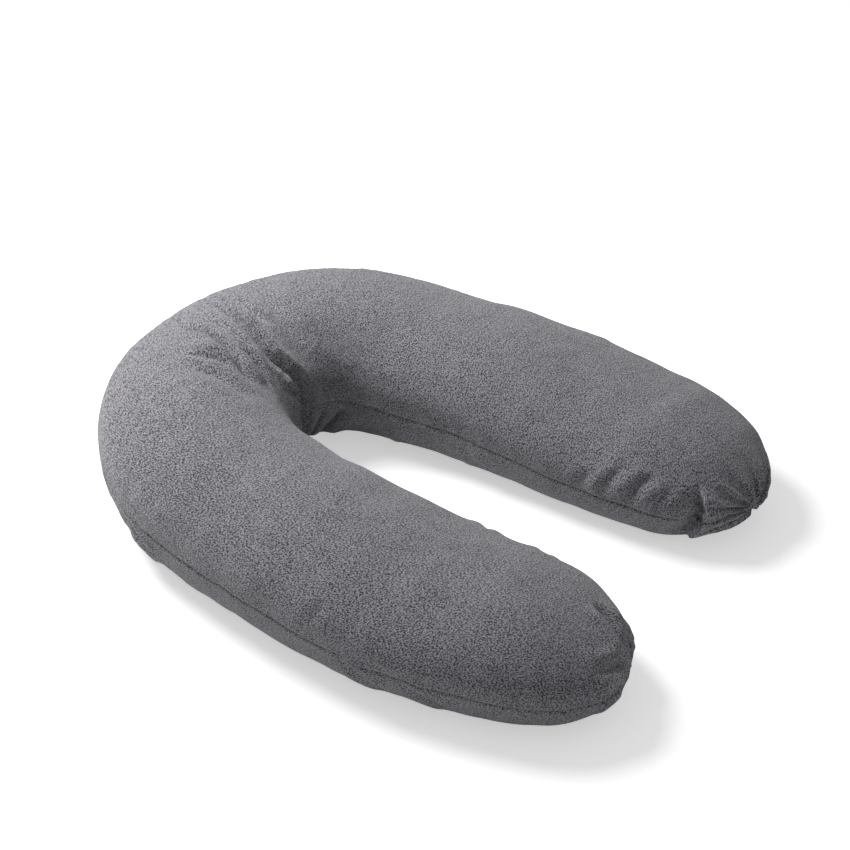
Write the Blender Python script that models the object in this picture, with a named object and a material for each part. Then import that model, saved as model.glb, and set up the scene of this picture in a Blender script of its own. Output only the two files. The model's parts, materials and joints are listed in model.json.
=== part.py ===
"""Nursing pillow: a long bead-filled bag bent into a U, in a two-panel jersey cover that zips round the bend.

Metres, +Z up. The pillow rests on z = 0, the bend is at +Y, and the arms point to -Y with a gap between them.
A place on it is a station along the centre line, an angle round the section, and a depth under the cover.
"""

import bmesh
import bpy
import numpy as np
from mathutils import Matrix

for old in list(bpy.data.objects):
    bpy.data.objects.remove(old, do_unlink=True)

# Centre line: a round bend, then two long arms that curve gently inward.
LEFT_ARM = 0.914  # length from the middle of the bend to the left tip
RIGHT_ARM = 0.886
BEND_RADIUS = 0.207
BEND_HALF_ANGLE = np.radians(77.8)
BEND_EASE = 0.06  # half the length over which the bend runs out into an arm
LEFT_CURVE = 0.865  # curvature of each arm, 1/m
RIGHT_CURVE = 0.611

# Section: half widths and heights of the filled tube at distances from the middle of the bend.
WIDTH_AT = (0.17, 0.36, 0.60, 0.80)
HALF_WIDTHS = (0.137, 0.137, 0.146, 0.1335)
HEIGHT_AT = (0.17, 0.40, 0.72, 0.95)
HEIGHTS = (0.203, 0.181, 0.149, 0.119)
WIDEST_LINE = 0.5535  # share of the height at which the tube is widest
BASE_SHARE = 0.311  # share of the half width that lies flat on the floor
TOP_POWER = 0.966
BOTTOM_POWER = 0.7345

# Rounded tips.
CAP_LENGTH = 0.198
CAP_WIDTH_POWER = 2.674
CAP_HEIGHT_POWER = 3.186
CAP_ANGLES = (20, 38, 53, 65, 75, 83, 88)  # of the sections over a rounded tip
TIP_HEIGHT = 0.056  # height at which the two panels meet at a tip

# Layers, as depths under the outside of the cover.
COVER = 0.0010  # thickness of the jersey
BAG_DEPTH = 0.0040
BAG = 0.0005  # thickness of the woven inner bag
FILL_DEPTH = 0.0048
FLOOR_SQUEEZE = 0.0027  # slack between cover and bag that the weight closes up underneath
SEAM_GAP = 0.0007  # from a panel's edge to the middle of its seam
THREAD_RADIUS = 0.00035
COVER_SEAM_ANGLE = 5.37  # degrees below the widest line
BAG_SEAM_ANGLE = 0.0

# Zips: both run round the outside of the bend, on arcs about its upright axis. A place on a zip's section is
# a height e above the middle of the zip, and a depth under the outside of the cover.
ZIP_STEP = 3.75
COVER_ZIP_ANGLE = 45.0
BAG_ZIP_ANGLE = 30.0
ZIP_GAP = 0.0018
TAPE_WIDTH = 0.012
TAPE = 0.0006
SLOT = 0.00055  # from the middle of a zip to the edge of a tape or coil
COIL_OUT = 0.0015
STOP_OUT = 0.0016
STITCH_FROM_ZIP = 0.006  # where the topstitching runs, above and below the zip
STITCH_RADIUS = 0.00025
STITCH_DEPTH = -0.0007
SLIDER_HALF_WIDTH = 0.0036
SLIDER_LENGTH = 0.011
POST_HALF_WIDTH = 0.00025
COVER_SLIDER_ANGLE = 41.5  # closed
BAG_SLIDER_ANGLE = 26.5
TAB_LENGTH = 0.024
TAB_HALF_WIDTH = 0.004
PIN_RADIUS = 0.0006
EYE_RADIUS = 0.0009
BARREL_RADIUS = 0.0016
PIN_DEPTH = -0.0034

# Care label: the stations it lies between, and the depths of its two sides.
LABEL_FROM, LABEL_TO = 0.21, 0.26
LABEL_DEPTHS = (0.0016, 0.0020)


def ease(x, at, values):
    """Values at the given places, joined by smooth steps."""
    total = np.full(np.shape(x), values[0], float)
    for a, b, u, v in zip(at, at[1:], values, values[1:]):
        t = np.clip((x - a) / (b - a), 0, 1)
        total = total + (v - u) * t * t * (3 - 2 * t)
    return total


def running_sum(values, at):
    """The integral of the values, from zero at the middle of the bend."""
    total = np.concatenate([[0], np.cumsum((values[1:] + values[:-1]) / 2 * np.diff(at))])
    return total - np.interp(0, at, total)


# The centre line about the bend's axis, which is at x = y = 0 until the whole pillow is moved at the end.
LINE = np.linspace(-LEFT_ARM, RIGHT_ARM, 3601)
straighten = ease(np.abs(LINE) - BEND_RADIUS * BEND_HALF_ANGLE, (-BEND_EASE, BEND_EASE), (0, 1))
arm_curve = np.where(LINE < 0, LEFT_CURVE, RIGHT_CURVE)
TURN = running_sum(1 / BEND_RADIUS + (arm_curve - 1 / BEND_RADIUS) * straighten, LINE)
LINE_X = running_sum(np.cos(TURN), LINE)
LINE_Y = BEND_RADIUS - running_sum(np.sin(TURN), LINE)


def stations():
    """(station, cap angle) from the left tip to the right one. The cap angle grows over a rounded tip."""
    zone = BEND_RADIUS * np.radians(COVER_ZIP_ANGLE)
    zip_angles = np.arange(-COVER_ZIP_ANGLE, COVER_ZIP_ANGLE + 1, ZIP_STEP)
    rows = [(BEND_RADIUS * np.radians(a), 0) for a in zip_angles]
    arm_from = 0.30  # the bend is closely divided up to here
    for side, length in ((-1, LEFT_ARM), (1, RIGHT_ARM)):
        shoulder = length - CAP_LENGTH
        out = [(side * s, 0) for s in np.linspace(zone, arm_from, 6)[1:]]
        out += [(side * s, 0) for s in np.linspace(arm_from, shoulder, 9)[1:]]
        out += [(side * shoulder, cap) for cap in CAP_ANGLES]
        rows = out[::-1] + rows if side < 0 else rows + out
    return rows


STATIONS = stations()
OVER = [0, 15, 32, 50, 70, 90, 110, 130, 148, 165, 180]  # angles of the columns over the top, and underneath
UNDER = [200, 222, 246, 270, 275, 280, 304, 328, 350]


def outline(p):
    """(side, up) round a section of half width 1 and height 1, at angles p.

    p is 0 at the outer widest line, 90 on top, 180 at the inner widest line, 270 to 280 along the base, and 370
    back at the outer widest line.
    """
    p = np.asarray(p, float)
    x = np.radians(np.where(p > 275, 370 - p, np.where(p > 180, p - 180, np.maximum(-p, 0))))
    x = np.minimum(x, np.pi / 2)
    low = BASE_SHARE + (1 - BASE_SHARE) * np.abs(np.cos(x)) ** BOTTOM_POWER
    low_up = WIDEST_LINE * (1 - np.sin(x) ** BOTTOM_POWER)
    top = np.radians(np.clip(p, 0, 180))
    high = np.sign(np.cos(top)) * np.abs(np.cos(top)) ** TOP_POWER
    high_up = WIDEST_LINE + (1 - WIDEST_LINE) * np.abs(np.sin(top)) ** TOP_POWER
    side = np.where((p >= 0) & (p <= 180), high, np.where((p > 180) & (p < 275), -low, low))
    flat = (p > 270) & (p < 280)
    side = np.where(flat, BASE_SHARE * (p - 275) / 5, side)
    return side, np.where((p >= 0) & (p <= 180), high_up, np.where(flat, 0, low_up))


def slice_at(station, cap, depth):
    """Centre x, y, outward direction, half width, base height and height of the section at a depth."""
    floor = min(depth, COVER) + max(0, depth - COVER - FLOOR_SQUEEZE)
    t = np.sin(np.radians(cap)) ** (2 / CAP_WIDTH_POWER) if cap else 0.0
    wide = np.sqrt(1 - t**CAP_WIDTH_POWER)
    high = np.sqrt(1 - t**CAP_HEIGHT_POWER)
    s = station + np.sign(station) * (CAP_LENGTH - depth) * t
    half = (float(ease(abs(s), WIDTH_AT, HALF_WIDTHS)) - depth) * wide
    height = (float(ease(abs(s), HEIGHT_AT, HEIGHTS)) - floor - depth) * high
    base = floor + (TIP_HEIGHT - floor) * (1 - high)
    turn = np.interp(s, LINE, TURN)
    centre = np.array([np.interp(s, LINE, LINE_X), np.interp(s, LINE, LINE_Y)])
    return centre, np.array([np.sin(turn), np.cos(turn)]), half, base, height


def ring(station, cap, depth, columns, gap):
    """Points of one panel's section at the column angles, with its edges a gap away from the seams."""
    centre, out, half, base, height = slice_at(station, cap, depth)
    fine = np.unique(np.concatenate([np.linspace(columns[0], columns[-1], 400), columns]))
    side, up = outline(fine)
    side, up = side * half, base + up * height
    run = np.concatenate([[0], np.cumsum(np.hypot(np.diff(side), np.diff(up)))])
    number = np.arange(len(columns))
    squeeze = min(0.0003, run[-1] / 60)
    place = np.clip(
        np.interp(columns, fine, run),
        gap + squeeze * number,
        run[-1] - gap - squeeze * number[::-1],
    )
    side, up = np.interp(place, run, side), np.interp(place, run, up)
    return np.column_stack([centre + np.outer(side, out), up])


def skin(columns, depth, gaps):
    """Rows of points over the whole pillow. A last row at each tip brings the panel down to its seam."""
    rows = [ring(s, cap, depth, columns, gap) for (s, cap), gap in zip(STATIONS, gaps)]
    for at, end in ((0, -LEFT_ARM), (-1, RIGHT_ARM)):
        end -= np.sign(end) * depth
        tip = np.array([np.interp(end, LINE, LINE_X), np.interp(end, LINE, LINE_Y)])
        centre = slice_at(*STATIONS[at], depth)[0]
        share = np.linspace(0, 1, len(columns))[:, None]
        chord = rows[at][0] * (1 - share) + rows[at][-1] * share
        chord[:, :2] += tip - centre
        rows = [chord, *rows] if at == 0 else [*rows, chord]
    return np.array(rows)


def add_object(name, points, faces, slot, origin=(0, 0, 0)):
    mesh = bpy.data.meshes.new(name)
    mesh.from_pydata([tuple(p) for p in np.asarray(points) - np.array(origin)], [], faces)
    work = bmesh.new()
    work.from_mesh(mesh)
    bmesh.ops.recalc_face_normals(work, faces=work.faces)
    work.to_mesh(mesh)
    work.free()
    mesh.materials.append(MATERIALS[slot])
    made = bpy.data.objects.new(name, mesh)
    made.location = origin
    bpy.context.collection.objects.link(made)
    return made


def add_slab(name, outer, inner, slot):
    """A sheet with thickness: two grids split along the same diagonals, and the strip round their border."""
    rows, columns = outer.shape[:2]
    count = rows * columns
    at = np.arange(count).reshape(rows, columns)
    faces = []
    for r in range(rows - 1):
        for c in range(columns - 1):
            here, beside = int(at[r, c]), int(at[r, c + 1])
            across, ahead = int(at[r + 1, c + 1]), int(at[r + 1, c])
            for first, second, third in ((here, beside, across), (here, across, ahead)):
                faces.append((first, second, third))
                faces.append((third + count, second + count, first + count))
    border = [int(n) for n in (*at[0], *at[1:, -1], *at[-1, -2::-1], *at[-2:0:-1, 0])]
    for here, ahead in zip(border, border[1:] + border[:1]):
        faces.append((ahead, here, here + count, ahead + count))
    return add_object(name, np.concatenate([outer.reshape(-1, 3), inner.reshape(-1, 3)]), faces, slot)


def add_sweep(name, loops, slot, origin=(0, 0, 0)):
    """A closed body through a row of equal loops of points, capped at both ends."""
    loops = np.asarray(loops)
    rows, sides = loops.shape[:2]
    faces = [tuple(range(sides)), tuple(range((rows - 1) * sides, rows * sides))]
    for r in range(rows - 1):
        for c in range(sides):
            d = (c + 1) % sides
            faces.append((r * sides + c, r * sides + d, (r + 1) * sides + d))
            faces.append((r * sides + c, (r + 1) * sides + d, (r + 1) * sides + c))
    return add_object(name, loops.reshape(-1, 3), faces, slot, origin)


def add_thread(name, path, slot):
    """A round thread along a nearly level path."""
    path = np.asarray(path)
    along = np.gradient(path[:, :2], axis=0)
    along /= np.linalg.norm(along, axis=1)[:, None]
    across = np.column_stack([along[:, 1], -along[:, 0], np.zeros(len(path))])
    turn = np.radians(np.arange(45, 405, 90))
    loops = [
        p + THREAD_RADIUS * (np.outer(np.cos(turn), a) + np.outer(np.sin(turn), (0, 0, 1)))
        for p, a in zip(path, across)
    ]
    return add_sweep(name, loops, slot)


def seam_path(angle, depth, zone):
    """Points along a seam from one end of its zip, round both tips, to the other end."""
    rows = [slice_at(s, cap, depth) for s, cap in STATIONS]
    beyond = [n for n, (s, _) in enumerate(STATIONS) if s > zone + 0.001]
    before = [n for n, (s, _) in enumerate(STATIONS) if s < -zone - 0.001]
    order = [(n, -angle) for n in beyond]
    order += [(n, 180 + angle) for n in range(len(STATIONS))][::-1]
    order += [(n, -angle) for n in before]
    path = []
    for n, p in order:
        centre, out, half, base, height = rows[n]
        side, up = outline(p)
        path.append([*(centre + out * half * side), base + height * up])
    return path


def wall(e, height):
    """Radius of the panels' outside about the bend's axis, at a height e above the given one."""
    _, _, half, base, tall = slice_at(0, 0, 0)
    side, up = outline([p - 370 for p in UNDER[-2:]] + [-COVER_SEAM_ANGLE] + OVER[:3])
    return BEND_RADIUS + np.interp(height + e, base + tall * up, half * side)


def sweep_zip(angles, profile, height):
    """Loops of a profile of (e, depth) points, at each angle about the bend's axis."""
    loops = []
    for turn in np.radians(angles):
        loops.append([
            [(wall(e, height) - d) * np.sin(turn), (wall(e, height) - d) * np.cos(turn), height + e]
            for e, d in profile
        ])
    return loops


def arc(limit):
    inner = np.arange(-COVER_ZIP_ANGLE, COVER_ZIP_ANGLE + 1, ZIP_STEP)
    return [-limit, *inner[np.abs(inner) < limit - 0.5], limit]


def rectangle(e0, e1, d0, d1):
    return [(e0, d0), (e1, d0), (e1, d1), (e0, d1)]


def plates(top, slot_top, slot_bottom, bottom):
    """Section of a slider: a plate above the coils, a plate below them, and the post between."""
    w, post = SLIDER_HALF_WIDTH, POST_HALF_WIDTH
    return [
        (-w, top), (w, top), (w, slot_top), (post, slot_top), (post, slot_bottom), (w, slot_bottom),
        (w, bottom), (-w, bottom), (-w, slot_bottom), (-post, slot_bottom), (-post, slot_top), (-w, slot_top),
    ]


MATERIALS = {}
for slot, colour, rough, metal in (
    ("cover_jersey", (0.155, 0.152, 0.165), 0.95, 0),
    ("cover_thread", (0.07, 0.07, 0.08), 0.8, 0),
    ("zip_tape", (0.08, 0.08, 0.09), 0.9, 0),
    ("zip_coil", (0.06, 0.06, 0.07), 0.4, 0),
    ("zip_metal", (0.45, 0.45, 0.47), 0.35, 1),
    ("label", (0.86, 0.86, 0.84), 0.7, 0),
    ("bag_woven", (0.80, 0.79, 0.76), 0.9, 0),
    ("bag_thread", (0.88, 0.88, 0.86), 0.8, 0),
    ("bag_zip", (0.83, 0.83, 0.81), 0.6, 0),
    ("beads", (0.90, 0.90, 0.89), 0.8, 0),
):
    material = bpy.data.materials.new(slot)
    material.use_nodes = True
    shader = material.node_tree.nodes["Principled BSDF"]
    shader.inputs["Base Color"].default_value = (*colour, 1)
    shader.inputs["Roughness"].default_value = rough
    shader.inputs["Metallic"].default_value = metal
    material.diffuse_color = (*colour, 1)
    MATERIALS[slot] = material

# The panels. Every layer has the same stations and columns, so the layers stay parallel.

def gaps(zip_angle):
    zone = BEND_RADIUS * np.radians(zip_angle) + 0.001
    return [ZIP_GAP if abs(s) < zone else SEAM_GAP for s, _ in STATIONS]


seam = COVER_SEAM_ANGLE
cover_gaps = gaps(COVER_ZIP_ANGLE)
columns = [-seam, *OVER, 180 + seam]
bag_gaps = gaps(BAG_ZIP_ANGLE)
under = [180 + seam, *UNDER, 370 - seam]
for name, columns, depth, thickness, panel_gaps, slot in (
    ("cover_top_panel", [-seam, *OVER, 180 + seam], 0, COVER, cover_gaps, "cover_jersey"),
    ("cover_bottom_panel", under, 0, COVER, cover_gaps, "cover_jersey"),
    ("inner_bag_top", OVER, BAG_DEPTH, BAG, bag_gaps, "bag_woven"),
    ("inner_bag_bottom", [180, *under, 370], BAG_DEPTH, BAG, bag_gaps, "bag_woven"),
):
    outside, inside = (skin(columns, d, panel_gaps) for d in (depth, depth + thickness))
    add_slab(name, outside, inside, slot)

zone = BEND_RADIUS * np.radians(COVER_ZIP_ANGLE)
add_thread("cover_seam_thread", seam_path(COVER_SEAM_ANGLE, COVER / 2, zone), "cover_thread")
zone = BEND_RADIUS * np.radians(BAG_ZIP_ANGLE)
add_thread("inner_bag_seam_thread", seam_path(BAG_SEAM_ANGLE, BAG_DEPTH + BAG / 2, zone), "bag_thread")

# The bead fill, hollowed a little along the bag's zip so that the slider's lower plate has room.
FILL_COLUMNS = [*OVER, *under]
HOLLOW = 0.0025
loops = []
for s, cap in STATIONS:
    near_zip = abs(s) < BEND_RADIUS * np.radians(BAG_ZIP_ANGLE + ZIP_STEP) + 0.001
    loop = []
    for p in FILL_COLUMNS:
        hollow = HOLLOW if near_zip and p in (0, 15, 370 - seam) else 0
        centre, out, half, base, height = slice_at(s, cap, FILL_DEPTH)
        side, up = outline(p)
        loop.append([*(centre + out * (half * side - hollow)), base + height * up])
    loops.append(loop)
add_sweep("bead_fill", loops, "beads")

# Both zips: tapes, coils, stops, and a slider whose post runs in the slot between the coils.
_, _, _, base, tall = slice_at(0, 0, COVER / 2)
COVER_Z = base + tall * float(outline(-COVER_SEAM_ANGLE)[1])
_, _, _, base, tall = slice_at(0, 0, BAG_DEPTH)
BAG_Z = base + tall * WIDEST_LINE
COVER_SLOTS = ("zip_tape", "zip_coil", "zip_metal")
BAG_SLOTS = ("bag_zip",) * 3
for name, z, limit, tape, coil, stop, (tape_slot, coil_slot, stop_slot) in (
    ("cover_zip", COVER_Z, COVER_ZIP_ANGLE, 0.0013, (-0.0002, 0.0010), (-0.0006, 0.0010), COVER_SLOTS),
    ("inner_bag_zip", BAG_Z, BAG_ZIP_ANGLE, 0.0048, (0.0038, 0.0045), (0.0034, 0.0045), BAG_SLOTS),
):
    for word, way in (("upper", 1), ("lower", -1)):
        profile = rectangle(SLOT * way, TAPE_WIDTH * way, tape, tape + TAPE)
        profile[1:1] = [(STITCH_FROM_ZIP * way, tape)]
        profile[4:4] = [(STITCH_FROM_ZIP * way, tape + TAPE)]
        add_sweep(f"{name}_tape_{word}", sweep_zip(arc(limit - 0.5), profile, z), tape_slot)
        profile = rectangle(SLOT * way, COIL_OUT * way, *coil)
        add_sweep(f"{name}_coil_{word}", sweep_zip(arc(limit - 1.8), profile, z), coil_slot)
        profile = rectangle(SLOT * way, STOP_OUT * way, *stop)
        add_sweep(f"{name}_top_stop_{word}", sweep_zip((limit - 1.5, limit - 0.5), profile, z), stop_slot)
    profile = rectangle(-STOP_OUT, STOP_OUT, *stop)
    add_sweep(f"{name}_bottom_stop", sweep_zip((-limit + 0.5, -limit + 1.5), profile, z), stop_slot)

turn = np.radians(np.arange(0, 360, 60))
for word, e in (("upper", STITCH_FROM_ZIP), ("lower", -STITCH_FROM_ZIP)):
    profile = [(e + STITCH_RADIUS * np.cos(t), STITCH_DEPTH + STITCH_RADIUS * np.sin(t)) for t in turn]
    loops = sweep_zip(arc(COVER_ZIP_ANGLE - 0.5), profile, COVER_Z)
    add_sweep(f"cover_zip_stitch_{word}", loops, "cover_thread")

# A blank care label, sewn into the cover's seam on the right arm, against the inside of the top panel.
label_rows = [(s, cap) for s, cap in STATIONS if LABEL_FROM < s < LABEL_TO][:2]
sides = []
for depth in LABEL_DEPTHS:
    grid = []
    for s, cap in label_rows:
        seam_end, second, third = ring(s, cap, depth, [-seam, *OVER, 180 + seam], SEAM_GAP)[:3]
        grid.append([seam_end * 0.6 + second * 0.4, second, second * 0.3 + third * 0.7])
    sides.append(np.array(grid))
add_slab("care_label", *sides, "label")


def zip_axes(angle, height):
    """A matrix from (along the zip, outward, up) at the cover's outside, to the pillow's axes."""
    turn = np.radians(angle)
    r = float(wall(0, height))
    return Matrix((
        (np.cos(turn), np.sin(turn), 0, r * np.sin(turn)),
        (-np.sin(turn), np.cos(turn), 0, r * np.cos(turn)),
        (0, 0, 1, height),
        (0, 0, 0, 1),
    ))


def add_block(name, x0, x1, y0, y1, z0, z1, slot):
    box = [(x, y, z) for x in (x0, x1) for y in (y0, y1) for z in (z0, z1)]
    faces = [(0, 1, 3, 2), (4, 6, 7, 5), (0, 4, 5, 1), (2, 3, 7, 6), (0, 2, 6, 4), (1, 5, 7, 3)]
    return add_object(name, box, faces, slot)


def add_rod(name, radius, y, half, slot, sides=16):
    """An upright rod at a distance outward of the zip."""
    turn = np.radians(np.arange(0, 360, 360 / sides))
    loops = [
        [(radius * np.cos(t), y + radius * np.sin(t), z) for t in turn]
        for z in (-half, half)
    ]
    return add_sweep(name, loops, slot)


def combine(target, others, operation):
    """An exact Boolean with each of the others, which are then removed."""
    for other in others:
        change = target.modifiers.new("Boolean", "BOOLEAN")
        change.solver, change.operation, change.object = "EXACT", operation, other
        graph = bpy.context.evaluated_depsgraph_get()
        mesh = bpy.data.meshes.new_from_object(target.evaluated_get(graph))
        target.modifiers.clear()
        target.data = mesh
        bpy.data.objects.remove(other, do_unlink=True)
    return target


half_angle = np.degrees(SLIDER_LENGTH / 2 / float(wall(0, COVER_Z)))
spans = np.array([-1, -0.5, 0, 0.5, 1]) * half_angle
slider = add_sweep(
    "cover_zip_slider",
    sweep_zip(COVER_SLIDER_ANGLE + spans, plates(-0.0014, -0.0005, 0.0025, 0.0034), COVER_Z),
    "zip_metal",
)
lugs = [
    add_block("lug", -0.0016, 0.0016, 0.0011, 0.0044, z, z + 0.0009, "zip_metal") for z in (-0.0032, 0.0023)
]
lugs.append(add_rod("pin", PIN_RADIUS, -PIN_DEPTH, 0.0027, "zip_metal"))
for lug in lugs:
    lug.data.transform(zip_axes(COVER_SLIDER_ANGLE, COVER_Z))
combine(slider, lugs, "UNION")
add_sweep(
    "inner_bag_zip_slider",
    sweep_zip(BAG_SLIDER_ANGLE + spans, plates(0.0026, 0.0035, 0.0059, 0.0068), BAG_Z),
    "bag_zip",
)

# The pull tab: a barrel round the slider's pin, and a flat grip that lies along the zip.
n, w = 0.0019, TAB_HALF_WIDTH
edge = [(0, -n), (0.0036, -n), (0.0062, -w), (TAB_LENGTH - 0.003, -w), (TAB_LENGTH - 0.0008, -0.0028)]
edge += [(TAB_LENGTH, 0)] + [(x, -z) for x, z in edge[::-1]]
loops = [[(-x, -PIN_DEPTH + y, z) for x, z in edge] for y in (-0.0005, 0.0005)]
tab = add_sweep("cover_zip_pull_tab", loops, "zip_metal")
combine(tab, [add_rod("barrel", BARREL_RADIUS, -PIN_DEPTH, n, "zip_metal", 20)], "UNION")
hole = add_block("hole", -0.021, -0.016, 0, 0.01, -0.0017, 0.0017, "zip_metal")
combine(tab, [add_rod("eye", EYE_RADIUS, -PIN_DEPTH, 0.01, "zip_metal", 20), hole], "DIFFERENCE")
axes = zip_axes(COVER_SLIDER_ANGLE, COVER_Z)
hinge = axes @ Matrix.Translation((0, -PIN_DEPTH, 0))
tab.data.transform(Matrix.Translation(-hinge.translation) @ axes)
tab.location = hinge.translation

# The row's origin is the middle of the pillow's box, on the floor.
bpy.context.view_layer.update()
corners = np.array([
    (o.matrix_world @ v.co)[:] for o in bpy.context.collection.objects for v in o.data.vertices
])
low, high = corners.min(axis=0), corners.max(axis=0)
for made in bpy.context.collection.objects:
    made.location.x -= (low[0] + high[0]) / 2
    made.location.y -= (low[1] + high[1]) / 2
bpy.context.view_layer.update()
print("bend axis", [round(-float(v), 6) for v in (low + high)[:2] / 2], "size", (high - low).round(4))
print("pull tab hinge", [round(float(v), 6) for v in tab.location])
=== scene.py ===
import json

import bmesh
import bpy
import numpy as np
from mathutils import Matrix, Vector


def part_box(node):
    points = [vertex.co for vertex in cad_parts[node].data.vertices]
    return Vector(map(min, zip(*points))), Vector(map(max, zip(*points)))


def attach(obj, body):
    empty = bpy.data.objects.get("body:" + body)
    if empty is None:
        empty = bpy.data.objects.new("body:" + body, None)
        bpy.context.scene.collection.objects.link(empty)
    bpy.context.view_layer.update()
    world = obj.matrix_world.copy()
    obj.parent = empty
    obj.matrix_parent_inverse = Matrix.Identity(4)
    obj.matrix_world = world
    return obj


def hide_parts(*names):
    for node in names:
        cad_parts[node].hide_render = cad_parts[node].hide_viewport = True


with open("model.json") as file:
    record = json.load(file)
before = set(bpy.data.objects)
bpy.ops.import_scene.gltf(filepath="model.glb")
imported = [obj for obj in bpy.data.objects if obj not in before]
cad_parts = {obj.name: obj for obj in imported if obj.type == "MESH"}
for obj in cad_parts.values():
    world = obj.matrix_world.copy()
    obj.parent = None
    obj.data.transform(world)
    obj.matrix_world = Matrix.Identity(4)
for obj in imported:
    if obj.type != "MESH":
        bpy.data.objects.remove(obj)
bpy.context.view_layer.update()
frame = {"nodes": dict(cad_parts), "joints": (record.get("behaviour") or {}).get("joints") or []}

# The beads: expanded polystyrene, poured loose into a long bag bent into a U. A place on the pillow is a
# station along its middle, in metres from the middle of the bend, and an angle p round the section: 0 is the
# outer side, 90 the top, 180 the inner side, 270 to 280 the base, and 370 the outer side.
LEFT_ARM = 0.914
RIGHT_ARM = 0.886
BEND_RADIUS = 0.207
BEND_HALF_ANGLE = np.radians(77.8)
BEND_EASE = 0.06  # half the length over which the bend runs out into an arm
LEFT_CURVE = 0.865  # curvature of each arm, in 1/m
RIGHT_CURVE = 0.611
WIDTH_AT = (0.17, 0.36, 0.60, 0.80)
HALF_WIDTHS = (0.137, 0.137, 0.146, 0.1335)
HEIGHT_AT = (0.17, 0.40, 0.72, 0.95)
HEIGHTS = (0.203, 0.181, 0.149, 0.119)
WIDEST_LINE = 0.5535  # share of the height at which the section is widest
BASE_SHARE = 0.311  # share of the half width that lies flat
TOP_POWER = 0.966  # roundness of the section over and under its widest line
BOTTOM_POWER = 0.7345
CAP_LENGTH = 0.198
CAP_WIDTH_POWER = 2.674
CAP_HEIGHT_POWER = 3.186
TIP_HEIGHT = 0.056
BEND_CROWDING, TIP_CROWDING = 1.4, 0.8  # how much closer rows of points lie there
SEAM_ANGLE = 5.37  # of the cover's seam, below the widest line
COVER_ZIP_ANGLE = 45.0
BAG_ZIP_ANGLE = 30.0
ZIP_GAP = 0.0018
JOINTS = {joint["name"]: joint for joint in frame["joints"]}
BEND_AXIS = np.array(JOINTS["cover_zip_run"]["pos_m"], float)
COVER = 0.0010  # thickness of the jersey
FLOOR_SQUEEZE = 0.0027  # slack under the cover that the weight closes up at the floor
FILL_DEPTH = 0.0056  # under the outside of the cover


def smooth(x, start, end):
    t = np.clip((np.asarray(x, float) - start) / (end - start), 0, 1)
    return t * t * (3 - 2 * t)


def steps(x, at, values):
    """Values at the given places, joined by smooth steps."""
    total = np.full(np.shape(x), values[0], float)
    for a, b, u, v in zip(at, at[1:], values, values[1:]):
        total = total + (v - u) * smooth(x, a, b)
    return total


def running_sum(values, at):
    """The integral of the values, from zero at the middle of the bend."""
    total = np.concatenate([[0], np.cumsum((values[1:] + values[:-1]) / 2 * np.diff(at))])
    return total - np.interp(0, at, total)


LINE = np.linspace(-LEFT_ARM, RIGHT_ARM, 3601)


def middle_line(bend_curve):
    """Direction, x and y along the middle of the pillow, for a bend of the given curvature."""
    straight = smooth(np.abs(LINE) - BEND_RADIUS * BEND_HALF_ANGLE, -BEND_EASE, BEND_EASE)
    arm_curve = np.where(LINE < 0, LEFT_CURVE, RIGHT_CURVE)
    turn = running_sum(bend_curve + (arm_curve - bend_curve) * straight, LINE)
    return turn, running_sum(np.cos(turn), LINE), BEND_RADIUS - running_sum(np.sin(turn), LINE)


AS_IT_LIES = middle_line(1 / BEND_RADIUS)


def outline(p):
    """(side, up) round the section, for a half width and a height of 1."""
    p = np.asarray(p, float)
    x = np.radians(np.where(p > 275, 370 - p, np.where(p > 180, p - 180, np.maximum(-p, 0))))
    x = np.minimum(x, np.pi / 2)
    low = BASE_SHARE + (1 - BASE_SHARE) * np.abs(np.cos(x)) ** BOTTOM_POWER
    low_up = WIDEST_LINE * (1 - np.sin(x) ** BOTTOM_POWER)
    top = np.radians(np.clip(p, 0, 180))
    high = np.sign(np.cos(top)) * np.abs(np.cos(top)) ** TOP_POWER
    high_up = WIDEST_LINE + (1 - WIDEST_LINE) * np.abs(np.sin(top)) ** TOP_POWER
    above = (p >= 0) & (p <= 180)
    base = (p > 270) & (p < 280)
    side = np.where(above, high, np.where((p > 180) & (p < 275), -low, low))
    side = np.where(base, BASE_SHARE * (p - 275) / 5, side)
    return side, np.where(above, high_up, np.where(base, 0, low_up))


def slices(s, depth=0.0, line=AS_IT_LIES):
    """Centre, outward direction, half width, base height and height of the section at each station."""
    s = np.asarray(s, float)
    length = np.where(s < 0, LEFT_ARM, RIGHT_ARM)
    shoulder = length - CAP_LENGTH
    t = np.clip((np.abs(s) - shoulder) / CAP_LENGTH, 0, 1)
    wide = np.sqrt(1 - t**CAP_WIDTH_POWER)
    high = np.sqrt(1 - t**CAP_HEIGHT_POWER)
    s = s - np.sign(s) * depth * t
    floor = min(depth, COVER) + max(0, depth - COVER - FLOOR_SQUEEZE)
    half = (steps(np.abs(s), WIDTH_AT, HALF_WIDTHS) - depth) * wide
    height = (steps(np.abs(s), HEIGHT_AT, HEIGHTS) - floor - depth) * high
    base = floor + (TIP_HEIGHT - floor) * (1 - high)
    turn, x, y = (np.interp(s, LINE, values) for values in line)
    centre = np.stack([x, y], -1) + BEND_AXIS[:2]
    return centre, np.stack([np.sin(turn), np.cos(turn)], -1), half, base, height


def places(s, p, depth=0.0, line=AS_IT_LIES):
    """Points at stations s and angles p, which have the same shape."""
    centre, out, half, base, height = slices(s, depth, line)
    side, up = outline(p)
    flat = centre + out * (half * side)[..., None]
    return np.concatenate([flat, (base + height * up)[..., None]], -1)


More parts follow.
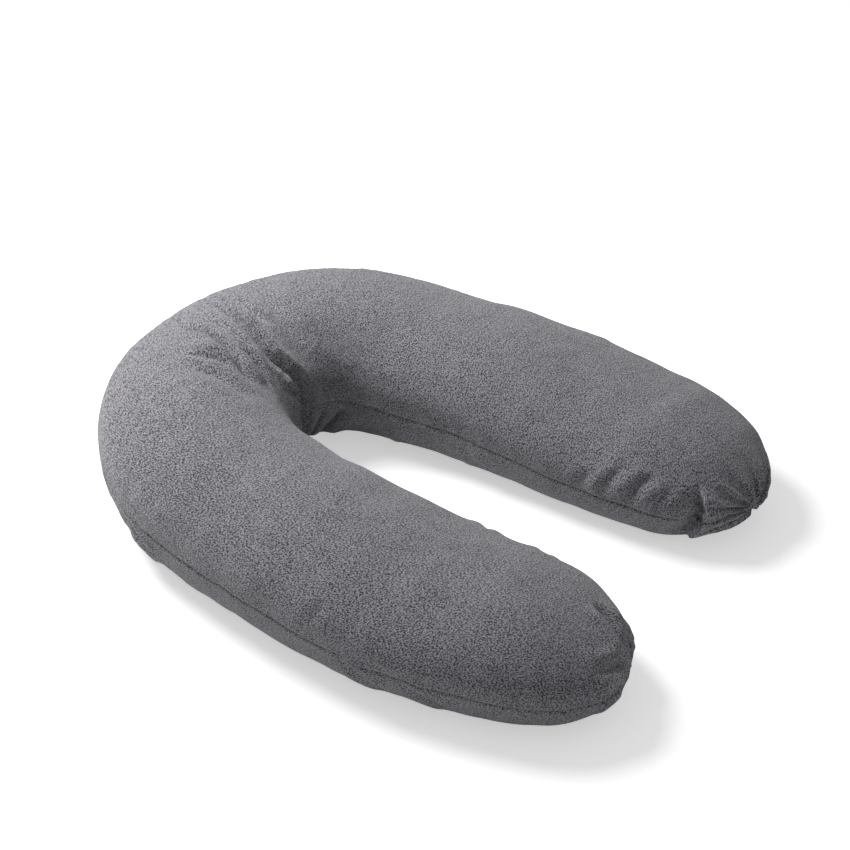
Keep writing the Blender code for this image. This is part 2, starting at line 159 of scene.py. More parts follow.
def row_stations(rows):
    """Stations from tip to tip, evenly spaced over the arms and closer together at the bend and the tips."""
    t = np.sin(np.linspace(0, np.pi / 2, 400)) ** (2 / CAP_WIDTH_POWER)
    left = -(LEFT_ARM - CAP_LENGTH) - CAP_LENGTH * t[::-1]
    right = RIGHT_ARM - CAP_LENGTH + CAP_LENGTH * t
    s = np.concatenate([left, np.linspace(left[-1], right[0], 400)[1:-1], right])
    tip = np.where(s < 0, LEFT_ARM, RIGHT_ARM) - np.abs(s)
    crowding = 1 + BEND_CROWDING * (1 - smooth(np.abs(s), 0.20, 0.32))
    crowding += TIP_CROWDING * (1 - smooth(tip, 0.05, 0.15))
    pace = np.hypot(np.diff(s), np.diff(slices(s)[2])) * (crowding[1:] + crowding[:-1]) / 2
    run = np.concatenate([[0], np.cumsum(pace)])
    return np.interp(np.linspace(0, run[-1], rows), run, s)


def outward_normals(points, middle):
    """Unit normals of a grid of points, turned away from the middle of each row, and zero at the tips."""
    normal = np.cross(np.gradient(points, axis=1), np.gradient(points, axis=0))
    normal *= np.sign(((points - middle[:, None, :]) * normal).sum(-1).mean())
    size = np.linalg.norm(normal, axis=-1, keepdims=True)
    return np.where(size > 1e-12, normal / np.maximum(size, 1e-12), 0)


# Creases as (places, depth, steep side, soft side, ridge). Places are (station, p), and the rest is in
# metres. The soft side is toward the right tip where it is positive.
FOLDS = (
    # over the top of the bend and down into its inner corner
    (((0.034, 65), (0.020, 82), (0.001, 102), (-0.015, 117), (-0.028, 131), (-0.024, 147), (-0.003, 161),
      (0.020, 175)), 0.0230, 0.0028, 0.0095, 0.0058),
    (((-0.030, 70), (-0.041, 87), (-0.058, 98), (-0.082, 109), (-0.110, 118), (-0.150, 132)),
     0.0190, 0.0028, 0.0075, 0.0054),
    (((-0.048, 112), (-0.064, 122), (-0.092, 132), (-0.125, 142)), 0.0150, 0.0026, 0.0055, 0.0034),
    (((-0.092, 78), (-0.098, 94), (-0.110, 107), (-0.132, 117), (-0.168, 128)),
     0.0070, 0.0040, 0.0085, 0.0036),
    (((0.105, 60), (0.082, 95), (0.070, 128), (0.066, 160)), 0.0036, 0.0080, 0.0150, 0.0024),
    (((0.040, 61), (0.042, 75), (0.040, 95), (0.035, 112)), 0.0044, 0.0034, 0.0080, 0.0022),
    (((-0.126, 88), (-0.162, 110), (-0.226, 127)), 0.0036, 0.0060, 0.0110, 0.0026),
    # inside the corner, down to the floor
    (((0.012, 160), (0.013, 186), (0.022, 212), (0.030, 246)), 0.0120, 0.0045, 0.0100, 0.0040),
    (((-0.076, 155), (-0.038, 165), (-0.004, 172)), 0.0060, 0.0035, -0.0080, 0.0030),
    (((-0.040, 146), (-0.022, 166), (-0.016, 186), (-0.014, 210)), 0.0050, 0.0035, -0.0070, 0.0028),
    (((0.215, 190), (0.165, 208), (0.130, 238)), 0.0065, 0.0042, -0.0110, 0.0036),
    (((0.125, 185), (0.096, 211), (0.084, 240)), 0.0065, 0.0040, -0.0090, 0.0032),
    (((-0.062, 182), (-0.048, 210), (-0.040, 242)), 0.0080, 0.0040, -0.0100, 0.0034),
    (((-0.155, 186), (-0.115, 212), (-0.100, 238)), 0.0055, 0.0042, 0.0100, 0.0028),
    (((-0.235, 190), (-0.190, 214), (-0.170, 238)), 0.0035, 0.0045, 0.0100, 0.0020),
    # short puckers that start at the seams
    (((0.692, 162), (0.681, 173), (0.668, 183)), 0.0024, 0.0030, 0.0070, 0.0014),
    (((0.733, 146), (0.720, 166), (0.709, 183)), 0.0036, 0.0032, 0.0090, 0.0024),
    (((0.779, 140), (0.763, 163), (0.750, 185)), 0.0044, 0.0032, 0.0100, 0.0026),
    (((0.812, 146), (0.799, 167), (0.788, 184)), 0.0030, 0.0030, 0.0080, 0.0018),
    (((-0.250, -9), (-0.270, -18), (-0.293, -27)), 0.0060, 0.0032, 0.0090, 0.0036),
    (((-0.588, -4), (-0.615, -18), (-0.646, -33)), 0.0052, 0.0036, 0.0100, 0.0030),
    (((-0.670, -5), (-0.698, -20), (-0.724, -35)), 0.0042, 0.0034, 0.0100, 0.0026),
    (((-0.545, 6), (-0.552, 20), (-0.562, 34)), 0.0018, 0.0040, 0.0080, 0.0010),
    (((0.560, 4), (0.566, 19), (0.575, 33)), 0.0024, 0.0038, 0.0090, 0.0014),
    (((0.640, -5), (0.655, -20), (0.670, -34)), 0.0034, 0.0034, 0.0090, 0.0020),
    (((0.360, -5), (0.372, -18), (0.386, -32)), 0.0030, 0.0036, 0.0090, 0.0018),
    (((-0.640, 177), (-0.652, 160), (-0.668, 146)), 0.0026, 0.0032, 0.0080, 0.0016),
    (((-0.740, 178), (-0.750, 163), (-0.762, 150)), 0.0028, 0.0032, 0.0080, 0.0016),
    (((-0.420, 188), (-0.432, 203), (-0.450, 218)), 0.0032, 0.0036, 0.0090, 0.0020),
    (((0.330, 189), (0.342, 206), (0.360, 224)), 0.0034, 0.0036, -0.0090, 0.0022),
    (((0.470, 188), (0.480, 204), (0.492, 222)), 0.0028, 0.0036, -0.0090, 0.0018),
    # where the loose cloth gathers into the left tip
    (((-0.850, 112), (-0.882, 105), (-0.908, 95)), 0.0075, 0.0042, -0.0120, 0.0055),
    (((-0.878, 44), (-0.896, 50), (-0.908, 62)), 0.0042, 0.0038, 0.0090, 0.0030),
    (((-0.884, 146), (-0.899, 136), (-0.909, 120)), 0.0050, 0.0038, 0.0090, 0.0034),
    (((-0.884, -20), (-0.900, -14), (-0.910, -6)), 0.0046, 0.0038, 0.0090, 0.0032),
)
# The loose end of the right tip hangs over the arm in a flap: (places, dip, its reach, lip, its reach).
FLAP = (((0.834, 130), (0.850, 149), (0.858, 166), (0.855, 184), (0.845, 204), (0.832, 228)),
        0.0140, 0.0180, 0.0080, 0.0220)
FLAP_STEP = 0.0022  # half the width of the step from the dip to the lip
FLAP_LEAN = 0.0050
ROLL_LEAN = 0.30  # how far a roll leans over its crease, as a share of the crease's depth
LEANING_DEPTH = 0.006  # of the shallowest crease with a roll that leans
FOLD_REACH = 0.06
CREASE_POWER = 1.5
CREASE_SPREAD = 1.1  # how much wider a crease is in the layers under the cover, per metre of depth
FLAP_SPREAD = 1.5


def spline(marks, count=90):
    """A smooth line through a few (station, p) marks."""
    marks = np.array(marks, float)
    ends = np.vstack([2 * marks[0] - marks[1], marks, 2 * marks[-1] - marks[-2]])
    x = np.linspace(0, len(marks) - 1 - 1e-9, count)
    k, t = x.astype(int), (x % 1)[:, None]
    a, b, c, d = (ends[k + n] for n in range(4))
    return 0.5 * (2 * b + (c - a) * t + (2 * a - 5 * b + 4 * c - d) * t**2 + (3 * b - a - 3 * c + d) * t**3)


def across_fold(points, normal, marks):
    """The points near a fold: their numbers, distance across it, share along it, and the way across it.

    Across is toward the right tip.
    """
    line = spline(marks)
    line = places(line[:, 0], line[:, 1])
    low, high = line.min(0) - FOLD_REACH, line.max(0) + FOLD_REACH
    near = np.flatnonzero(((points > low) & (points < high)).all(-1))
    gap = points[near][:, None] - line
    best = (gap**2).sum(-1).argmin(1)
    gap = gap[np.arange(len(near)), best]
    along = np.gradient(line, axis=0)
    step = np.linalg.norm(along, axis=1)
    along = (along / step[:, None])[best]
    beyond = (gap * along).sum(1)
    way = np.cross(normal[near], along)
    way *= np.sign(marks[-1][1] - marks[0][1])
    x = ((gap - along * beyond[:, None]) * way).sum(1)
    return near, x, (best + np.clip(beyond / step[best], -9, 9)) / (len(line) - 1), way


def waves(points, size, seed):
    """Gentle unevenness in space, from about -1 to 1, with so many metres from crest to crest."""
    draw = np.random.default_rng(seed)
    total = np.zeros(points.shape[:-1])
    for _ in range(14):
        way = draw.normal(size=3)
        way /= np.linalg.norm(way)
        pitch = size * draw.uniform(0.75, 1.5)
        total += np.sin(points @ way * (2 * np.pi / pitch) + draw.uniform(0, 2 * np.pi))
    return total / 5.3


def creased(points, normal, depth=0.0):
    """How far the creases and the flap lift each point of a list, on a layer at a depth under the cover."""
    total = np.zeros(len(points))
    for marks, fall, steep, soft, ridge in FOLDS:
        near, x, t, _ = across_fold(points, normal, marks)
        x = x * np.sign(soft)
        fade = smooth(t, -0.03, 0.28) * (1 - smooth(t, 0.78, 1.03))
        reach = np.where(x > 0, abs(soft), steep) + CREASE_SPREAD * depth
        dip = -fall * np.exp(-(np.abs(x / reach) ** CREASE_POWER))
        ridge *= depth == 0  # only the cover rises beside a crease
        crest = ridge * np.exp(-(((x - 2.0 * abs(soft)) / (1.1 * abs(soft))) ** 2))
        crest += ridge * np.exp(-(((x + 2.4 * steep + 0.005) / (1.6 * steep + 0.004)) ** 2))
        total[near] += (dip + crest) * fade
    marks, dip, dip_reach, lip, lip_reach = FLAP
    near, x, t, _ = across_fold(points, normal, marks)
    fade = smooth(t, 0.0, 0.25) * (1 - smooth(t, 0.90, 1.03))
    step = smooth(x - FLAP_SPREAD * depth, -FLAP_STEP, FLAP_STEP)
    under = -dip * np.exp(-((np.minimum(x, 0) / (dip_reach + FLAP_SPREAD * depth)) ** 2)) * (1 - step)
    total[near] += (under + lip * np.exp(-((x / lip_reach) ** 2)) * step * (depth == 0)) * fade
    return total


def overhang(points, normal):
    """How the roll beside a deep fold leans over it, and the edge of the flap over the hollow beside it."""
    total = np.zeros(points.shape)
    for marks, fall, steep, soft, _ in FOLDS:
        if fall > LEANING_DEPTH:
            near, x, t, way = across_fold(points, normal, marks)
            x = x * np.sign(soft)
            fade = smooth(t, 0.02, 0.35) * (1 - smooth(t, 0.70, 1.0))
            lean = ROLL_LEAN * fall * np.exp(-(((x + 1.6 * steep) / (1.5 * steep)) ** 2)) * fade
            total[near] += way * (np.sign(soft) * lean)[:, None]
    near, x, t, way = across_fold(points, normal, FLAP[0])
    fade = smooth(t, 0.05, 0.35) * (1 - smooth(t, 0.55, 0.90))
    lean = FLAP_LEAN * np.exp(-((x / 0.010) ** 2)) * smooth(x, -0.0006, 0.0016) * fade
    total[near] -= way * lean[:, None]
    return total


# The cloth of the bend is cut for a gentler bend than the one it lies in. Pressed out by the beads, it
# buckles.
CUT_BEND_RADIUS = 0.30
SETTLED_FROM_CREASED = 0.4  # the share of the creases that it starts with
SETTLING_FRAMES = 26
SETTLED_TO = 0.43  # the station up to which it buckles
SETTLED_ROWS, SETTLED_COLUMNS = 170, 136
MOST_MOVE = 0.016


def settle():
    """Simulates the cloth of the bend. Returns its stations, its angles, and how far each point moved."""
    s = np.linspace(-SETTLED_TO, SETTLED_TO, SETTLED_ROWS)
    fine = np.linspace(0, 370, 2000)
    side, up = outline(fine)
    run = np.concatenate([[0], np.cumsum(np.hypot(np.diff(side) * HALF_WIDTHS[0], np.diff(up) * HEIGHTS[0]))])
    p = np.interp(np.arange(SETTLED_COLUMNS) / SETTLED_COLUMNS * run[-1], run, fine)
    grid_s, grid_p = np.meshgrid(s, p, indexing="ij")
    flat = places(grid_s, grid_p)
    centre, _, _, base, height = slices(s)
    normal = outward_normals(flat, np.column_stack([centre, base + height / 2]))
    lift = creased(flat.reshape(-1, 3), normal.reshape(-1, 3)).reshape(flat.shape[:2])
    lift *= SETTLED_FROM_CREASED
    held = smooth(np.abs(grid_s), SETTLED_TO - 0.10, SETTLED_TO - 0.02)
    near_zip = 1 - smooth(np.abs(grid_s), 0.17, 0.21)
    near_zip *= 1 - smooth(np.minimum(grid_p, 370 - grid_p), 14, 30)
    held = np.maximum(np.maximum(held, near_zip), 1 - smooth(flat[..., 2], 0.004, 0.018))
    start = flat + normal * (lift * (1 - held))[..., None]
    cut = places(grid_s, grid_p, 0.0, middle_line(1 / CUT_BEND_RADIUS))
    at = np.arange(grid_s.size).reshape(grid_s.shape)
    beside = np.roll(at, -1, axis=1)
    faces = np.stack([at[:-1], beside[:-1], beside[1:], at[1:]], -1).reshape(-1, 4)
    mesh = bpy.data.meshes.new("bend_cloth")
    mesh.from_pydata(start.reshape(-1, 3).tolist(), [], faces.tolist())
    cloth = bpy.data.objects.new("bend_cloth", mesh)
    bpy.context.scene.collection.objects.link(cloth)
    cloth.shape_key_add(name="as it lies")
    key = cloth.shape_key_add(name="as it is cut")
    key.data.foreach_set("co", cut.reshape(-1))
    pins = cloth.vertex_groups.new(name="held")
    for n, weight in enumerate(held.reshape(-1)):
        if weight > 0.01:
            pins.add([n], float(weight), "REPLACE")
    change = cloth.modifiers.new("cloth", "CLOTH")
    settings = change.settings
    settings.quality = 6
    settings.mass = 0.1
    settings.tension_stiffness = settings.compression_stiffness = 10
    settings.shear_stiffness = 6
    settings.bending_stiffness = 0.02
    settings.tension_damping = settings.compression_damping = 1
    settings.bending_damping = 2
    settings.air_damping = 0.5
    settings.vertex_group_mass = "held"
    settings.pin_stiffness = 30
    settings.rest_shape_key = key
    settings.use_pressure = True
    settings.uniform_pressure_force = 6
    settings.effector_weights.gravity = 0
    change.collision_settings.use_collision = False
    change.point_cache.frame_start, change.point_cache.frame_end = 1, SETTLING_FRAMES
    scene = bpy.context.scene
    for number in range(1, SETTLING_FRAMES + 1):
        scene.frame_set(number)
    moved = np.empty(start.size)
    evaluated = cloth.evaluated_get(bpy.context.evaluated_depsgraph_get())
    evaluated.data.vertices.foreach_get("co", moved)
    bpy.data.objects.remove(cloth, do_unlink=True)
    scene.frame_set(1)
    moved = moved.reshape(start.shape) - flat
    size = np.linalg.norm(moved, axis=-1, keepdims=True)
    moved *= np.minimum(1, MOST_MOVE / np.maximum(size, 1e-9))
    return s, p, moved * (1 - smooth(np.abs(grid_s), SETTLED_TO - 0.08, SETTLED_TO - 0.005))[..., None]


SETTLED = settle()


def settled(s, p):
    """How the simulated cloth moved at stations s and angles p, read between its points by cubic curves."""
    stations, angles, moved = SETTLED
    row = np.clip((s + SETTLED_TO) / (2 * SETTLED_TO) * (len(stations) - 1), 0, len(stations) - 1 - 1e-6)
    around = np.concatenate([angles, [370]])
    column = np.interp(p % 370, around, np.arange(len(around)))
    total = np.zeros((*np.shape(s), 3))
    r, tr = row.astype(int), row % 1
    c, tc = column.astype(int), column % 1

    def weights(t):
        return (
            (-t + 2 * t**2 - t**3) / 2, (2 - 5 * t**2 + 3 * t**3) / 2,
            (t + 4 * t**2 - 3 * t**3) / 2, (-(t**2) + t**3) / 2,
        )
    for i, wr in enumerate(weights(tr)):
        for j, wc in enumerate(weights(tc)):
            rows = np.clip(r + i - 1, 0, len(stations) - 1)
            total += moved[rows, (c + j - 1) % len(angles)] * (wr * wc)[..., None]
    return total * (np.abs(s) < SETTLED_TO)[..., None]


EDGE_COLUMNS, EDGE_SPACING = 8, 0.35  # columns of points beside a seam, and how close they lie there
UNEVENNESS = ((0.0011, 0.085, 3), (0.0005, 0.034, 4))  # height, metres from crest to crest, and seed
LEFT_GATHERS, RIGHT_GATHERS = (9, 0.0014), (13, 0.0030)  # how many, and how high


class Layer:
    """One sheet of the pillow: rows of points from edge to edge, folded as the whole pillow is."""

    def __init__(self, first, last, rows, columns, depth=0.0, gap=0.0, zip_gap=0.0, zip_angle=0.0):
        s = row_stations(rows)
        fine = np.linspace(first, last, 700)
        centre, out, half, base, height = slices(s, depth)
        side, up = outline(fine)
        wide, tall = half[:, None] * side, base[:, None] + height[:, None] * up
        run = np.cumsum(np.hypot(np.diff(wide, axis=1), np.diff(tall, axis=1)), axis=1)
        run = np.concatenate([np.zeros((rows, 1)), run], axis=1)
        spacing = np.ones(columns - 1)
        spacing[:EDGE_COLUMNS] = spacing[-EDGE_COLUMNS:] = EDGE_SPACING
        share = np.concatenate([[0], np.cumsum(spacing)]) / spacing.sum()
        zone = 1 - smooth(np.abs(s) - BEND_RADIUS * np.radians(zip_angle), 0, 0.012)
        self.s = np.repeat(s[:, None], columns, axis=1)
        self.p = np.empty(self.s.shape)
        along = np.empty(self.s.shape)
        for n in range(rows):
            low = gap + (zip_gap - gap) * zone[n] * (first < 90)
            high = gap + (zip_gap - gap) * zone[n] * (last > 350)
            low, high = min(low, run[n, -1] * 0.2), min(high, run[n, -1] * 0.2)
            along[n] = low + share * (run[n, -1] - low - high)
            self.p[n] = np.interp(along[n], run[n], fine)
        outer_edge = along if first < 90 else run[:, -1:] - along
        self.seam = np.minimum(along, run[:, -1:] - along)
        self.zip_zone = zone[:, None] * (outer_edge < run[:, -1:] / 2) * (zip_gap > 0)
        self.around = along - run[:, -1:] / 2
        self.smooth_points = places(self.s, self.p, depth)
        middle = np.column_stack([centre, base + height / 2])
        self.normal = outward_normals(self.smooth_points, middle)
        step = np.gradient(self.smooth_points, axis=0)
        ahead = step[..., 0] * out[:, 1:] - step[..., 1] * out[:, :1]
        self.length = np.cumsum(np.hypot(ahead, step[..., 2]), axis=0)
        self.length -= self.length[np.argmin(np.abs(s))]
        self.fold(depth)

    def fold(self, depth):
        """Moves the points with the pillow's creases, the gathers at its tips and its slight unevenness."""
        s, p = self.s, self.p
        shape = s.shape
        flat_points, flat_normal = self.smooth_points.reshape(-1, 3), self.normal.reshape(-1, 3)
        lift = creased(flat_points, flat_normal, depth).reshape(shape)
        offset = np.zeros((*shape, 3))
        if SETTLED:
            offset = settled(s, p)
        for height, size, seed in UNEVENNESS:
            lift += height * waves(self.smooth_points, size, seed)
        tip = np.where(s < 0, LEFT_ARM, RIGHT_ARM) - np.abs(s)
        gather = (1 - smooth(tip, 0.006, 0.048)) * smooth(tip, 0, 0.0015)
        lobes = np.where(s < 0, LEFT_GATHERS[0], RIGHT_GATHERS[0])
        turn = np.radians(p * 360 / 370)
        frill = np.cos(lobes * turn + 1.2 * np.sin(2 * turn + 1)) + 0.4 * np.cos((lobes * 2 + 1) * turn + 2)
        lift += np.where(s < 0, LEFT_GATHERS[1], RIGHT_GATHERS[1]) * gather * frill
        calm = self.calm()
        offset = (offset + self.normal * lift[..., None]) * (1 - calm)[..., None]
        if depth == 0:
            offset += overhang(flat_points, flat_normal).reshape(offset.shape)
        offset *= smooth(self.smooth_points[..., 2], 0.0005, 0.012)[..., None]
        self.points = self.smooth_points + offset

    def calm(self):
        """Where the cloth is held flat: along the cover's zip and over the care label."""
        from_zip = np.minimum(np.abs(self.p), np.abs(self.p - 370))
        along_zip = 1 - smooth(np.abs(self.s), 0.175, 0.205)
        zip_calm = along_zip * (1 - smooth(from_zip, 13, 28))
        label_calm = smooth(self.s, 0.19, 0.21) * (1 - smooth(self.s, 0.255, 0.275))
        label_calm *= 1 - smooth(from_zip, 30, 42)
        return np.maximum(zip_calm, label_calm)


def add_piece(name, mesh, material):
    mesh.materials.clear()
    mesh.materials.append(material)
    piece = bpy.data.objects.new(name, mesh)
    bpy.context.scene.collection.objects.link(piece)
    return piece


MERGED, DISSOLVED = 0.00003, 0.00001  # points this close are one, and edges this short go


def grid_mesh(name, grid, length, around):
    """A smooth sheet through a grid of points, with a UV map in metres of cloth."""
    rows, columns = grid.shape[:2]
    at = np.arange(rows * columns).reshape(rows, columns)
    corners = np.stack([at[:-1, :-1], at[1:, :-1], at[1:, 1:], at[:-1, 1:]], -1).reshape(-1, 4)
    mesh = bpy.data.meshes.new(name)
    mesh.vertices.add(rows * columns)
    mesh.vertices.foreach_set("co", grid.reshape(-1))
    mesh.loops.add(corners.size)
    mesh.loops.foreach_set("vertex_index", corners.reshape(-1))
    mesh.polygons.add(len(corners))
    mesh.polygons.foreach_set("loop_start", np.arange(len(corners)) * 4)
    uv = mesh.uv_layers.new(name="cloth")
    cloth = np.stack([length.reshape(-1), around.reshape(-1)], -1)[corners.reshape(-1)]
    uv.data.foreach_set("uv", cloth.reshape(-1).astype(np.float32))
    mesh.update(calc_edges=True)
    work = bmesh.new()
    work.from_mesh(mesh)
    bmesh.ops.remove_doubles(work, verts=work.verts, dist=MERGED)
    bmesh.ops.dissolve_degenerate(work, edges=work.edges, dist=DISSOLVED)
    work.to_mesh(mesh)
    work.free()
    mesh.shade_smooth()
    return mesh


def new_material(name):
    material = bpy.data.materials.new(name)
    material.use_nodes = True
    tree = material.node_tree
    return material, tree, tree.nodes["Principled BSDF"]


def connect(tree, node, **links):
    """Links or values for a node's inputs, by name or as n and a number."""
    for key, value in links.items():
        key = int(key[1:]) if key[0] == "n" and key[1:].isdigit() else key.replace("_", " ")
        if isinstance(value, bpy.types.NodeSocket):
            tree.links.new(value, node.inputs[key])
        else:
            node.inputs[key].default_value = value
    return node


def add_node(tree, kind, settings=(), **links):
    """A new node with its settings, and links or values for its inputs."""
    node = tree.nodes.new(kind)
    for key, value in dict(settings).items():
        setattr(node, key, value)
    return connect(tree, node, **links)


def object_place(tree):
    return add_node(tree, "ShaderNodeTexCoord").outputs["Object"]


def color_mix(tree, factor, first, second):
    node = add_node(tree, "ShaderNodeMix", {"data_type": "RGBA"}, n0=factor, n6=first, n7=second)
    return node.outputs[2]


def math(tree, operation, first, second=0.0, third=0.0, clamp=False):
    settings = {"operation": operation, "use_clamp": clamp}
    return add_node(tree, "ShaderNodeMath", settings, n0=first, n1=second, n2=third).outputs[0]


material, tree, shader = new_material("polystyrene_beads")
place = object_place(tree)
bead = add_node(tree, "ShaderNodeTexVoronoi", {}, Vector=place, Scale=290.0)
height = math(tree, "MULTIPLY", bead.outputs["Distance"], -1.0)
bump = add_node(tree, "ShaderNodeBump", {}, Height=height, Strength=0.9, Distance=0.0012)
# The colour darkens toward the edge of each bead: painted shade in the gaps where the beads meet.
white = color_mix(tree, bead.outputs["Distance"], (0.90, 0.90, 0.89, 1), (0.62, 0.62, 0.60, 1))
connect(tree, shader, Base_Color=white, Normal=bump.outputs[0], Roughness=0.55)

layer = Layer(0, 370, 440, 110, FILL_DEPTH)
mesh = grid_mesh("bead_filling", layer.points, layer.length, layer.around)
beads = add_piece("bead_filling", mesh, material)
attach(beads, "pillow")
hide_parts("bead_fill")

# The inner bag: two pieces of white woven cotton that hold the beads, sewn together at the widest line. Their
# raw edges are turned in, and they leave a gap for the bag's own zip round the outside of the bend.
BAG_DEPTH = 0.0040
WEAVE_PITCH = 0.0007
FULL_TURN = 6.28318


def add_sockets(group, way, rows):
    for label, kind in rows:
        group.interface.new_socket(label, in_out=way, socket_type="NodeSocket" + kind)


def weave_group():
    """Plain weave: two sets of threads that pass over and under each other, in cloth coordinates."""
    group = bpy.data.node_groups.new("plain_weave", "ShaderNodeTree")
    add_sockets(group, "INPUT", (("Cloth", "Vector"), ("Warp Pitch", "Float"), ("Weft Pitch", "Float")))
    add_sockets(group, "OUTPUT", (("Height", "Float"), ("Shade", "Float")))
    given, result = group.nodes.new("NodeGroupInput"), group.nodes.new("NodeGroupOutput")
    parts = add_node(group, "ShaderNodeSeparateXYZ", {}, Vector=given.outputs["Cloth"])
    ways = []
    for axis, pitch in (("X", "Warp Pitch"), ("Y", "Weft Pitch")):
        turns = math(group, "DIVIDE", parts.outputs[axis], given.outputs[pitch])
        ways.append(math(group, "SINE", math(group, "MULTIPLY", turns, FULL_TURN)))
    over = math(group, "MULTIPLY", ways[0], ways[1])
    noise = add_node(group, "ShaderNodeTexNoise", {}, Vector=given.outputs["Cloth"], Scale=900.0, Detail=1.0)
    height = math(group, "MULTIPLY_ADD", noise.outputs["Fac"], 0.6, over)
    # The shade is darker where a thread passes under the other, which is painted shade in the hollows of the
    # weave, and it also varies at random with the noise.
    shade = math(group, "MULTIPLY_ADD", over, 0.35, noise.outputs["Fac"], True)
    connect(group, result, Height=height, Shade=shade)
    return group


WEAVE = weave_group()


def woven_material(name, dark, light, pitch, rough, uv_map="cloth"):
    """Woven cloth or tape. It takes its threads from a UV map in metres, or from Object coordinates."""
    material, tree, shader = new_material(name)
    if uv_map:
        cloth = add_node(tree, "ShaderNodeUVMap", {"uv_map": uv_map}).outputs["UV"]
    else:
        cloth = object_place(tree)
    weave = add_node(tree, "ShaderNodeGroup", {"node_tree": WEAVE}, Cloth=cloth)
    connect(tree, weave, Warp_Pitch=pitch, Weft_Pitch=pitch * 1.15)
    threads = weave.outputs["Height"]
    bump = add_node(tree, "ShaderNodeBump", {}, Height=threads, Strength=0.6, Distance=pitch / 3)
    # Dark where the weave's Shade is low: painted shade between the threads, plus random tone.
    color = color_mix(tree, weave.outputs["Shade"], (*dark, 1), (*light, 1))
    connect(tree, shader, Base_Color=color, Normal=bump.outputs[0], Roughness=rough, Sheen_Weight=0.15)
    return material


BAG_CLOTH = woven_material("bag_cotton", (0.60, 0.59, 0.56), (0.86, 0.85, 0.81), WEAVE_PITCH, 0.9)


def turned_in(layer, depths, zip_depths):
    """The layer's grid with columns added at both long edges, which turn the cloth in at its seams."""
    edges = []
    for column, inner in ((0, 1), (-1, -2)):
        away = layer.points[:, column] - layer.points[:, inner]
        away /= np.maximum(np.linalg.norm(away, axis=1, keepdims=True), 1e-9)
        zone = layer.zip_zone[:, [column]]
        turned = []
        for n, (deep, shallow) in enumerate(zip(depths, zip_depths)):
            fall = deep * (1 - zone) + shallow * zone
            bow = 0.0002 if n == 0 else 0.0
            turned.append(layer.points[:, column] - layer.normal[:, column] * fall + away * bow)
        edges.append(turned)
    return np.stack([*edges[0][::-1], *layer.points.transpose(1, 0, 2), *edges[1]], axis=1)


def widen(values, count, step=0.0015):
    """Cloth coordinates carried on over the turned-in edges."""
    way = np.sign(values[:, -1:] - values[:, :1]) * step
    ends = np.arange(1, count + 1)
    return np.concatenate([values[:, :1] - way * ends[::-1], values, values[:, -1:] + way * ends], axis=1)


for word, first, last in (("top", 0, 180), ("bottom", 180, 370)):
    layer = Layer(first, last, 480, 70, BAG_DEPTH, 0.0002, ZIP_GAP, BAG_ZIP_ANGLE)
    grid = turned_in(layer, (0.0003, 0.0008), (0.0002, 0.0004))
    mesh = grid_mesh("bag_" + word, grid, widen(layer.length, 2, 0.0), widen(layer.around, 2))
    bag = add_piece("bag_" + word, mesh, BAG_CLOTH)
    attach(bag, "pillow")
    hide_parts("inner_bag_" + word)

# The bag's seam: a lockstitch in white polyester thread, from one end of the bag's zip round both tips to its
# other end.
BAG_STITCH = (0.0028, 0.0021, 0.00032)  # pitch, length and radius
THREAD_TWIST = 0.0006
SEAM_ROWS, SEAM_COLUMNS = 500, 20  # of the narrow strips of cloth that a seam's line runs along


def thread_material(name, color):
    """Twisted sewing thread."""
    material, tree, shader = new_material(name)
    place = object_place(tree)
    fibre = add_node(tree, "ShaderNodeTexNoise", {}, Vector=place, Scale=1 / THREAD_TWIST, Detail=2.0)
    bump = add_node(tree, "ShaderNodeBump", {}, Height=fibre.outputs["Fac"], Strength=0.5, Distance=0.0001)
    dark = tuple(c * 0.6 for c in color)
    shade = color_mix(tree, fibre.outputs["Fac"], (*dark, 1), (*color, 1))
    connect(tree, shader, Base_Color=shade, Normal=bump.outputs[0], Roughness=0.6, Sheen_Weight=0.2)
    return material


